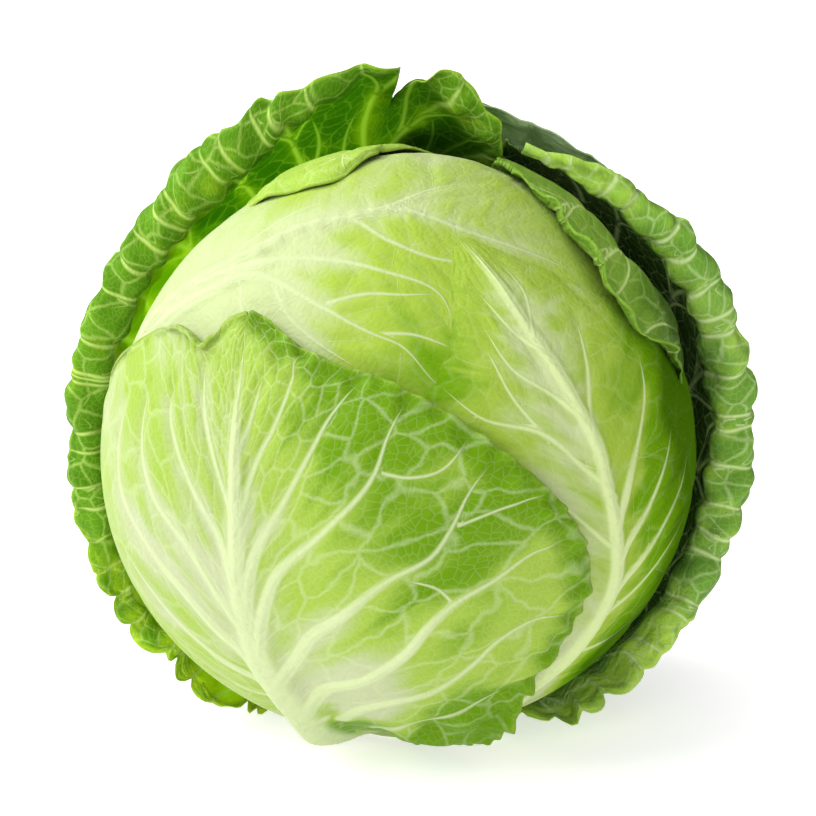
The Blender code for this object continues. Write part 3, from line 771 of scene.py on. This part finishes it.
        piece = bpy.data.objects.new(name, mesh)
        bpy.context.scene.collection.objects.link(piece)
        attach(piece, "root")
        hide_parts(self.leaf.name)
        return piece

    def patches(self, base, *spots):
        """A soft field: a base value changed round each (longitude, latitude, half width, change)."""
        field = base + 0 * self.bare
        for longitude, latitude, width, change in spots:
            angle = np.degrees(np.arccos(np.clip(self.dirs @ directions(longitude, latitude), -1, 1)))
            field += change * (1 - smooth_step(angle / width))
        return field


def closed_sheet(inner, outer):
    """Vertices and triangles of a blade between two like grids, split alike on both faces."""
    rows, columns = inner.shape[:2]
    index = np.arange(rows * columns).reshape(rows, columns)
    near = index[:-1, :-1].ravel()
    right = index[:-1, 1:].ravel()
    far = index[1:, 1:].ravel()
    left = index[1:, :-1].ravel()
    face = np.vstack([np.stack([near, right, far], 1), np.stack([near, far, left], 1)])
    count = rows * columns
    border = np.concatenate([index[0], index[1:, -1], index[-1, -2::-1], index[-2:0:-1, 0]])
    after = np.roll(border, -1)
    rim = np.vstack([
        np.stack([after + count, border + count, border], 1),
        np.stack([after + count, border, after], 1),
    ])
    points = np.vstack([inner.reshape(-1, 3), outer.reshape(-1, 3)])
    return points, np.vstack([face[:, ::-1], face + count, rim])


def leaf_skin(
    piece, pale, middle, deep, vein, shade=None, hem=None, inside=None, net=0.5, cell=0.0077,
    bumps=0.5, streaks=0.5, crease_shade_and_hem=0.45, bloom=0.0, thin=0.0, gloss=0.12,
):
    """A leaf's surface: its tint runs from pale over middle to deep, and veins are laid over it.

    shade is the colour past deep, for painted shade where a high tint stands for shadow. hem is
    that of the very margin and inside that of the inner face. net is how strongly the finest veins
    show and cell how wide their meshes are. bumps is how blistered the blade is, streaks how streaky
    its tint, crinkle how strongly painted shade darkens the creases beside the margin and how much
    the hem shows, bloom how much pale wax lies on it, thin how much light passes through it and
    gloss how much it shines.
    """
    material, tree, shader = new_material(piece.name, Roughness=0.42)

    def noise(where, scale, detail, output=0, distortion=0.0):
        inputs = {"Vector": where, "Scale": scale, "Detail": detail, "Distortion": distortion}
        return tree.node("ShaderNodeTexNoise", {}, inputs, output)

    def meshes(where, shift, scale):
        """How far a point is from the lines of a net whose places drift by up to shift."""
        moved = tree.node("ShaderNodeVectorMath", {"operation": "MULTIPLY_ADD"},
                          {0: drift, 1: shift, 2: where})
        settings = {"feature": "DISTANCE_TO_EDGE", "voronoi_dimensions": "2D"}
        return tree.node("ShaderNodeTexVoronoi", settings, {"Vector": moved, "Scale": scale}, "Distance")

    place = tree.node("ShaderNodeTexCoord", {}, {}, "Object")
    sheet = tree.attribute("sheet", "Vector")
    share = tree.attribute("share")
    station = tree.attribute("station")
    edge = tree.attribute("rim")

    # The net: wide meshes in rows of a leaf 190 mm long and 45 mm from midrib to margin, which start
    # anew at the midrib, and small even ones between them.
    out = tree.maths("ABSOLUTE", share)
    blade_part = tree.maths("MINIMUM", out, 1) * (0.045 / cell)
    rolled_part = tree.maths("MAXIMUM", out, 1) * (0.012 / cell)
    row = station * (0.19 / cell) + share.step(-0.0005, 0.0005) * 37
    drift = noise(sheet, 70.0, 2.0, "Color")
    grid = tree.node("ShaderNodeCombineXYZ", {}, {0: row, 1: blade_part + rolled_part})
    wide = meshes(grid, (1.1, 0.9, 0.0), 1.0)
    small = meshes(sheet, (0.007, 0.007, 0.0), 3.2 / cell)
    web = wide.step(0.1, 0.0) * 0.75 + small.step(0.14, 0.0) * 0.25

    # The tint: soft blotches, streaks across the leaf that die out at its tip, and pale bands
    # along the ribs.
    flow = tree.node("ShaderNodeCombineXYZ", {}, {0: station * 34, 1: share * 3})
    streak = (noise(flow, 1.0, 3.0, distortion=0.6) - 0.5) * station.step(1.0, 0.75)
    blotch = noise(place, 38.0, 3.0)
    halo = tree.attribute("halo")
    tint = tree.attribute("tint") + (blotch - 0.5) * 0.8 + streak * streaks - halo * 0.33
    colour = tint.step(0.0, 0.5).between(pale, middle)
    colour = tint.step(0.5, 1.0).between(colour, deep)

    # Veins: the ribs in relief, the thin ones by the offset from their line, which stays true
    # between the grid's points, and the net.
    offset = tree.node("ShaderNodeSeparateXYZ", {}, {0: tree.attribute("line", "Vector")})
    beside, away = (Shade(tree.tree, offset.socket.node.outputs[axis]) for axis in "YZ")
    gap = tree.maths("SQRT", offset * offset + beside * beside)
    width = tree.attribute("width")
    crisp = (gap / tree.maths("MAXIMUM", width, 0.0001)).step(1.4, 0.1)
    crisp = crisp * away.step(0.0021, 0.0014) * width.step(0.0, 0.0004)
    lines = tree.maths("MAXIMUM", tree.attribute("vein"), crisp * 0.85)
    lines = tree.maths("MAXIMUM", lines, web * net * 0.6)
    colour = lines.between(colour, vein)
    # Tint past 1 is painted shade: it darkens the colour, veins and all, towards the shade colour.
    colour = (tint.step(1.0, 1.8) * 0.8).between(colour, shade or deep)

    # The margin: painted shade darkens the creases in a band beside it, and its thin hem shows.
    fine = noise(place, 260.0, 4.0)
    crease_shade = edge.step(0.0006, 0.0022) * edge.step(0.0055, 0.0022) * fine.step(0.35, 0.6)
    colour = (crease_shade * crease_shade_and_hem).between(colour, deep)
    colour = (edge.step(0.0013, 0.0) * crease_shade_and_hem).between(colour, hem or middle)
    if inside:
        colour = tree.attribute("face").between(lines.between(inside, vein), colour)
    if bloom:
        wax = noise(place, 22.0, 5.0)
        colour = (wax.step(0.35, 0.75) * bloom).between(colour, (0.5, 0.62, 0.42))
    tree.feed(shader.inputs["Base Color"], colour)
    tree.feed(shader.inputs["Roughness"], 0.38 + web * 0.12 + fine * 0.12)
    height = wide.step(0.0, 0.4) * 0.3 + small.step(0.0, 0.3) * 0.15 + fine * 0.1 + crisp * 0.4
    bump = {"Height": height + streak * 1.6, "Strength": bumps, "Distance": 0.0009}
    tree.feed(shader.inputs["Normal"], tree.node("ShaderNodeBump", {}, bump, "Normal"))
    shader.inputs["IOR"].default_value = 1.3
    shader.inputs["Specular IOR Level"].default_value = gloss
    shader.inputs["Specular Tint"].default_value = (0.8, 0.95, 0.5, 1)
    if thin:
        glow = tree.node("ShaderNodeBsdfTranslucent", {}, {"Color": colour}, "BSDF")
        through = out.step(1.1, 0.8) * thin + 0.1
        both = {0: through, 1: Shade(tree.tree, shader.outputs[0]), 2: glow}
        mixed = tree.node("ShaderNodeMixShader", {}, both)
        tree.feed(tree.tree.nodes["Material Output"].inputs["Surface"], mixed)
    wear(piece, material)


# --- Upper leaf ----------------------------------------------------------------------------------
# The upper leaf comes up the left side and lies over the top towards the right. It is almost
# white where its broad ribs fan out, and green in the middle of the blade.

upper = Blade("upper_leaf", 230, (60, 110), crowd=((0, 0.25, 1), (0, 0.4, 1)))
upper.veins([
    ((4.5, 2.6, 1.2, 0.7), (-75, 28), (-64, 41), (-49, 50), (-41, 56), (-14, 63), (21, 71), (52, 71)),
    ((4.2, 2.6, 1.1, 0.6, 0.5), (-76, 24), (-65, 34), (-56, 40), (-46, 45), (-37, 45), (-21, 41),
     (-7, 36), (-1, 34), (6, 27), (14, 20)),
    ((2.4, 1.2, 0.6), (-62, 40), (-54, 44), (-36, 50), (-23, 51), (-6, 49), (9, 44), (12, 36)),
    ((1.5, 0.6), (-30, 60), (0, 64), (18, 59), (38, 52), (48, 47), (55, 42)),
    ((1.3, 0.5), (-40, 56), (-22, 61), (-5, 56), (8, 52), (24, 49), (38, 42)),
    ((1.0, 0.5), (-37, 45), (-28, 38), (-18, 33), (-9, 29)),
    ((1.0, 0.5), (-48, 44), (-42, 38), (-34, 34)),
    ((1.0, 0.5), (-21, 41), (-10, 44), (0, 44), (9, 44)),
    ((0.9, 0.5), (-64, 41), (-58, 50), (-50, 60), (-30, 68)),
    ((0.9, 0.5), (-7, 36), (2, 36), (11, 33)),
])
upper.twigs(0.02, 0.03, 11, strength=0.4)
# Patches of the head's crown and right side, which the right leaf shares: paler on the left,
# greener on the crown, and painted shade, dark past deep, down the right limb, low on the right,
# in the gap by the right wrapper and under the side leaf.
crown_tones_and_painted_shade = ((-76, 26, 48, -0.45), (0, 38, 28, 0.55), (10, 22, 24, 0.3), (20, 62, 26, 0.15),
         (72, 20, 46, 0.5), (84, -6, 58, 1.5), (74, -34, 28, 0.6), (30, -38, 18, -0.3),
         (60, -39, 17, 1.4), (68, 18, 14, 1.0), (-28, 30, 20, -0.4))
leaf_skin(
    upper.build(1.0, 0.0004, upper.patches(0.26, *crown_tones_and_painted_shade)),
    pale=(0.42, 0.49, 0.24), middle=(0.3, 0.43, 0.05), deep=(0.12, 0.27, 0.003),
    vein=(0.47, 0.55, 0.29), shade=(0.028, 0.085, 0.001), net=0.2, streaks=0.6, gloss=0.06,
)


# --- Back leaf -----------------------------------------------------------------------------------
# The back leaf covers the back of the head. Its margin shows over the top as a thin green strip.

back = Blade("back_leaf", 110, (50, 60))
for side, seed in ((0, 21), (1, 22)):
    back.fans(side, 0.016, 0.1, 0.0012, 0.0005, seed)
back.lift -= 0.001 * smooth_step(1 - back.edge / 0.01) + back.patches(0, (-96, 46, 22, 0.005))
back.lift += 0.0014 * smooth_step(1 - back.edge / 0.014) * (0.5 + 0.5 * swell(back.sheet, 0.022, 23))
leaf_skin(
    back.build(0.8, 0.0005, back.patches(0.55)),
    pale=(0.42, 0.55, 0.16), middle=(0.31, 0.46, 0.06), deep=(0.2, 0.36, 0.03),
    vein=(0.5, 0.6, 0.28),
)


# --- Right leaf ----------------------------------------------------------------------------------
# The right leaf rises from the stem round the lower right and ends in a point above the front leaf.

right = Blade("right_leaf", 210, (66, 90))
right.veins([
    ((2.2, 0.6), (42, -4), (46, 5), (50, 13), (53, 20), (55, 27)),
    ((2.0, 0.6), (44, -11), (46, -8), (52, -2), (59, 6), (63, 12)),
    ((2.0, 0.6), (46, -17), (50, -14), (59, -7), (67, 0), (71, 7)),
    ((1.4, 0.5), (36, 13), (37, 19), (39, 26), (41, 36)),
    ((1.6, 0.5), (44, -24), (54, -20), (64, -14), (74, -8)),
    ((1.4, 0.5), (40, -33), (54, -33), (68, -28), (80, -20)),
    ((1.3, 0.5), (42, 2), (34, 9), (26, 16), (14, 20), (6, 27)),
    ((0.8, 0.45), (26, 16), (21, 23), (17, 33)),
    ((1.1, 0.45), (43, -9), (35, -2), (28, 4), (20, 10)),
    ((1.0, 0.45), (36, 15), (30, 22), (22, 28), (17, 38)),
    ((0.8, 0.45), (30, 29), (24, 35), (18, 44)),
    ((0.7, 0.45), (28, 33), (30, 42), (27, 50)),
])
right.midrib(8, 7, 5.4, 3.9, 3.1, 2.6, 2.3, 2.0, 1.6)
right.twigs(0.02, 0.03, 31, strength=0.35)
right.lift -= 0.0021 * smooth_step(1.1 - right.edge / 0.018)
# Its tint takes the crown's patches, with their painted shade down the right limb.
leaf_skin(
    right.build(1.0, 0.0004, right.patches(0.31, *crown_tones_and_painted_shade)),
    pale=(0.44, 0.51, 0.26), middle=(0.28, 0.41, 0.046), deep=(0.12, 0.27, 0.003),
    vein=(0.54, 0.64, 0.3), shade=(0.028, 0.085, 0.001), net=0.2, streaks=0.8, crease_shade_and_hem=0, gloss=0.0,
)


# --- Side leaf -----------------------------------------------------------------------------------
# The side leaf lies on the right of the head. Its dark, blistered margin is turned outwards.

side = Blade("side_leaf", 150, (60, 34), strips=(14, 0))
lobes = side.fans(0, 0.012, 0.08, 0.0013, 0.0008, 41)
side.fans(1, 0.02, 0.08, 0.0013, 0.0008, 42)
side.puff_rim(-1, lobes, 0.001)
side.lift += 0.0012 * smooth_step(1 - side.edge / 0.012) * (0.5 + 0.5 * swell(side.sheet, 0.014, 44))
side.lift -= side.patches(0, (80, -8, 38, 0.012))
# Its tint is darkened past deep on the right, by the right wrapper: painted shade.
leaf_skin(
    side.build(0.9, 0.0005, side.patches(0.55, (86, 20, 34, 1.6))),
    pale=(0.3, 0.45, 0.1), middle=(0.16, 0.3, 0.03), deep=(0.08, 0.18, 0.012),
    vein=(0.48, 0.64, 0.2), shade=(0.02, 0.055, 0.003), bumps=0.8, gloss=0.05,
)


# --- Front leaf ----------------------------------------------------------------------------------
# The front leaf is the largest in sight. Its thick stalk comes up from the stem and fans out into
# long ribs. It is pale on the left, greener and blistered on the right, with a crinkled margin.

front = Blade("front_leaf", 300, (66, 82), strips=(16, 0), crowd=((0, 0.5, 1), (0, 0.42, 1)))
front.midrib(9.4, 8.4, 6.2, 4.8, 3.8, 2.9, 2.1, 1.5, 1.0)
front.veins([
    ((2.0, 1.2, 0.9), (-31, -12), (-30, -2), (-28, 10), (-25, 17), (-23, 24), (-22, 32)),
    ((2.2, 1.4, 0.9), (-32, -20), (-27, -5), (-22, 4), (-17, 14), (-14, 20), (-8, 27)),
    ((2.4, 1.5, 0.9), (-32, -31), (-28, -18), (-24, -10), (-15, -1), (-5, 11), (-3, 17), (1, 24)),
    ((0.8, 0.5), (-5, 11), (1, 10), (6, 11), (12, 17)),
    ((2.6, 1.6, 0.9), (-32, -38), (-24, -30), (-19, -23), (-12, -17), (-3, -9), (5, -4), (8, 1),
     (11, 7), (16, 13)),
    ((0.8, 0.5), (8, 1), (17, 4), (26, 6)),
    ((2.8, 1.8, 0.9), (-27, -46), (-19, -38), (-7, -31), (0, -25), (5, -18), (9, -14), (16, -10),
     (24, -5), (32, -3)),
    ((0.8, 0.5), (9, -14), (6, -11), (0, -9)),
    ((2.4, 1.5, 0.9), (-20, -52), (-6, -40), (6, -36), (14, -29), (19, -23), (27, -19), (35, -20)),
    ((1.6, 1.0, 0.8), (-12, -58), (4, -48), (16, -42), (24, -37)),
    ((2.0, 1.2, 0.9), (-31.5, -14), (-35, -4), (-41, 3), (-47, 11), (-50, 16), (-51, 22)),
    ((2.2, 1.4, 0.9), (-32, -24), (-42, -8), (-53, 1), (-57, 8), (-58, 12), (-59, 20)),
    ((2.4, 1.5, 0.9), (-33, -34), (-45, -18), (-55, -10), (-65, -1), (-67, 6), (-67, 16)),
    ((2.2, 1.4, 0.8), (-30, -43), (-45, -32), (-54, -26), (-61, -20), (-72, -12)),
    ((1.8, 1.1, 0.8), (-24, -50), (-44, -44), (-60, -36), (-74, -26)),
    ((1.5, 0.8), (-32, 1), (-37, 10), (-41, 18), (-44, 26)),
    ((1.2, 0.8), (-32, 9), (-30, 18), (-29, 26)),
])
# The stalk stands out of the blade, the right side is puffed at its foot, and the margin waves.
on_right = front.u > 0
margin = smooth_step(1 - front.edge / 0.016) * on_right
foot = smooth_step(1 - np.abs(front.grid_t - 0.12) / 0.1) * on_right
above = smooth_step((front.points[..., 2] + HEAD_CENTRE[2] - 0.005) / 0.012)
front.lift += 0.0017 * np.maximum(margin * (0.5 + swell(front.sheet, 0.009, 53)), 0)
front.lift += 1.4 * front.rib * above * smooth_step(2.2 - front.grid_t * 4)
front.lift += 0.003 * above * foot * smooth_step(front.u * 2 - 0.6) * (1 + swell(front.sheet, 0.016, 54))
front.lift += 0.0007 * smooth_step(1.3 - front.edge / 0.0022)
# Tint: greener on the right and paler low by the stalk. The patches low at the foot and the band beside the
# stalk's right side, at its foot, are painted shade. The band along the right margin is partly the margin's
# darker green and partly painted shade in its crinkles.
tint = front.patches(0.49, (-66, 2, 46, -0.15), (8, 2, 44, 0.45), (-12, 20, 26, 0.3), (-8, -44, 24, -0.45),
                     (14, -44, 18, 0.6), (-14, -57, 12, 0.9), (8, -58, 24, 0.6))
tint += 0.4 * smooth_step(1 - front.edge / 0.014) * on_right
tint += 0.5 * smooth_step(1.6 - np.abs(front.u) * 7) * smooth_step(2.6 - front.grid_t * 8) * on_right
leaf_skin(
    front.build(1.4, 0.0008, tint),
    pale=(0.4, 0.45, 0.26), middle=(0.27, 0.4, 0.052), deep=(0.11, 0.24, 0.004),
    vein=(0.48, 0.56, 0.3), net=0.65, bumps=0.6, streaks=0.7,
)


# --- Left wrapper --------------------------------------------------------------------------------
# A loose dark outer leaf stands off on the left. Its margin rolls outwards in lobes and shows
# the inner side, and light comes through its wall from behind.

left = Blade("left_wrapper", 260, (62, 62), strips=(16, 44))
for hand, seed, reach, wave in ((1, 61, 0.006, 0.005), (-1, 62, 0.001, 0)):
    lobes = left.fans(int(hand > 0), 0.0092, 0.12, 0.0014, 0.0008, seed)
    lobes = lobes * (1 - 0.8 * smooth_step((left.grid_t - 0.76) / 0.08))
    left.puff_rim(hand, lobes, 0.001 + 0.0006 * meander(left.grid_t, 0.04, seed))
    left.frill(hand, lobes, reach, wave, seed)
left.veins([
    ((1.4, 0.9), (-156, 20), (-155, 38), (-155, 43), (-154, 53), (-143, 63)),
    ((1.3, 0.8), (-160, 20), (-163, 40), (-163, 46), (-162, 56), (-164, 63)),
    ((1.2, 0.8), (-164, 30), (-171, 44), (-174, 49), (-177, 56)),
    ((1.2, 0.8), (-170, 34), (178, 44), (174, 51), (171, 57), (170, 63)),
    ((1.0, 0.8), (178, 40), (175, 43), (172, 45), (170, 49), (163, 56)),
])
left.twigs(0.009, 0.009, 63, lean=(0.6, 1.1), since=0.5)
left.lift += 0.0009 * swell(left.sheet, 0.011, 64) * smooth_step(3 * np.abs(left.u) - 2)
# The inner face of the wall is painted pale, as painted light for the glow of light coming through it from
# behind, on top of the real translucency. Both faces are paler at the lower left rim.
wall_with_painted_light = smooth_step(6.5 - 6 * np.abs(left.u))
outside = left.patches(0.6, (-78, -48, 40, -0.4))
inside = outside - wall_with_painted_light * left.patches(0, (-108, 8, 48, 1.1), (-80, -50, 40, 0.9))
leaf_skin(
    left.build(-0.35, 0.0006, inside, outside),
    pale=(0.5, 0.7, 0.012), middle=(0.11, 0.28, 0.01), deep=(0.05, 0.16, 0.003),
    vein=(0.52, 0.7, 0.17), hem=(0.4, 0.6, 0.05), net=0.8, cell=0.0055, bumps=0.6, thin=0.8, gloss=0.1,
)


# --- Right wrapper -------------------------------------------------------------------------------
# A second outer leaf stands off on the right, rolled outwards like the first, with a waxy bloom.

wing = Blade("right_wrapper", 230, (60, 36), strips=(44, 0))
for hand, seed, reach, wave in ((-1, 71, 0.010, 0.006), (1, 72, 0.001, 0)):
    lobes = wing.fans(int(hand > 0), 0.0088, 0.12, 0.0014, 0.0008, seed)
    wing.puff_rim(hand, lobes, 0.001 + 0.0006 * meander(wing.grid_t, 0.04, seed))
    wing.frill(hand, lobes, reach, wave, seed)
wing.twigs(0.009, 0.009, 73, lean=(0.6, 1.1), since=0.5)
wing.lift += 0.0009 * swell(wing.sheet, 0.011, 74) * smooth_step(3 * np.abs(wing.u) - 2)
# The inner wall is darkened to deep green: partly the darker inside of an outer leaf and partly painted
# shade. Painted light pales the wrapper at the bottom and near the top, where it lies in shade.
wall_with_painted_light = smooth_step(4.2 - 4 * np.abs(wing.u))
tint = 0.45 + 0.9 * wall_with_painted_light - wing.patches(0, (76, -58, 34, 0.9), (120, 58, 30, 0.2))
leaf_skin(
    wing.build(-0.35, 0.0006, tint),
    pale=(0.42, 0.66, 0.06), middle=(0.15, 0.33, 0.035), deep=(0.025, 0.075, 0.004),
    vein=(0.62, 0.78, 0.34), hem=(0.4, 0.6, 0.1), net=0.8, cell=0.0055, bumps=0.6, bloom=0.06,
    thin=0.1, gloss=0.08,
)


# --- Back wrapper --------------------------------------------------------------------------------
# The outermost leaf stands off behind and shows its grey green underside above the right side.

rear = Blade("back_wrapper", 120, (46, 46))
for side, seed in ((0, 81), (1, 82)):
    rear.fans(side, 0.014, 0.12, 0.0014, 0.0006, seed)
rear.lift += 0.0014 * smooth_step(1 - rear.edge / 0.02) * swell(rear.sheet, 0.014, 84)
# Its inner face is pale: partly its paler grey green inside, and partly painted light on a face that the
# lamps leave in shade.
leaf_skin(
    rear.build(-0.8, 0.0008, rear.patches(0.4)),
    pale=(0.3, 0.46, 0.16), middle=(0.18, 0.33, 0.08), deep=(0.08, 0.18, 0.02),
    vein=(0.45, 0.6, 0.3), inside=(0.6, 0.8, 0.42), net=1.0, cell=0.006, bloom=0.35, thin=0.2,
)


# --- Studio --------------------------------------------------------------------------------------
# A white table and soft light: large lamps high on the left in front, above, and on the left behind,
# and a weak one low on the right. The camera stands in front and looks down by 15 degrees.

bpy.ops.mesh.primitive_plane_add(size=12)
floor = bpy.context.active_object
floor.name = "table"
material, tree, shader = new_material("table_white", Roughness=0.7)
shader.inputs["Base Color"].default_value = (0.8, 0.768, 0.8, 1)
shader.inputs["Emission Color"].default_value = (1, 1, 1, 1)
shader.inputs["Emission Strength"].default_value = 0.56
wear(floor, material)

for name, spot, size, power in (
    ("key", (-1.1, -0.75, 1.05), 0.8, 9.2),
    ("top", (-0.4, 0.2, 1.5), 1.2, 6),
    ("rear", (-1.0, 0.5, 0.9), 0.6, 11),
    ("fill", (0.9, -1.0, 0.35), 0.7, 2.2),
):
    lamp = bpy.data.lights.new(name, "AREA")
    lamp.shape = "DISK"
    lamp.size = size
    lamp.energy = power
    holder = bpy.data.objects.new(name, lamp)
    holder.location = spot
    aim = np.array(spot) - HEAD_CENTRE
    down = math.acos(aim[2] / np.linalg.norm(aim))
    holder.rotation_euler = (down, 0, math.atan2(aim[1], aim[0]) + math.pi / 2)
    bpy.context.scene.collection.objects.link(holder)

world = bpy.data.worlds.new("studio")
world.use_nodes = True
sky = Shade(world.node_tree)
way = sky.node("ShaderNodeTexCoord", {}, {}, "Generated")
brightest = {0: way, 1: (-0.6, -0.5, 0.62)}
toward = sky.node("ShaderNodeVectorMath", {"operation": "DOT_PRODUCT"}, brightest, "Value")
glow = toward.step(-0.5, 1.0) * 1.2 + 0.02
sky.feed(world.node_tree.nodes["Background"].inputs["Strength"], glow)
world.node_tree.nodes["Background"].inputs["Color"].default_value = (1, 1, 1, 1)
bpy.context.scene.world = world
bpy.context.scene.view_settings.view_transform = "Standard"

lens = bpy.data.cameras.new("camera")
lens.lens = 124.6
lens.sensor_width = 36
lens.clip_start = 0.01
camera = bpy.data.objects.new("camera", lens)
tilt = math.radians(15)
distance = 0.8
camera.location = (0.00085, 0.0026 - distance * math.cos(tilt), 0.0919 + distance * math.sin(tilt))
camera.rotation_euler = (math.pi / 2 - tilt, 0, 0)
bpy.context.scene.collection.objects.link(camera)
bpy.context.scene.camera = camera
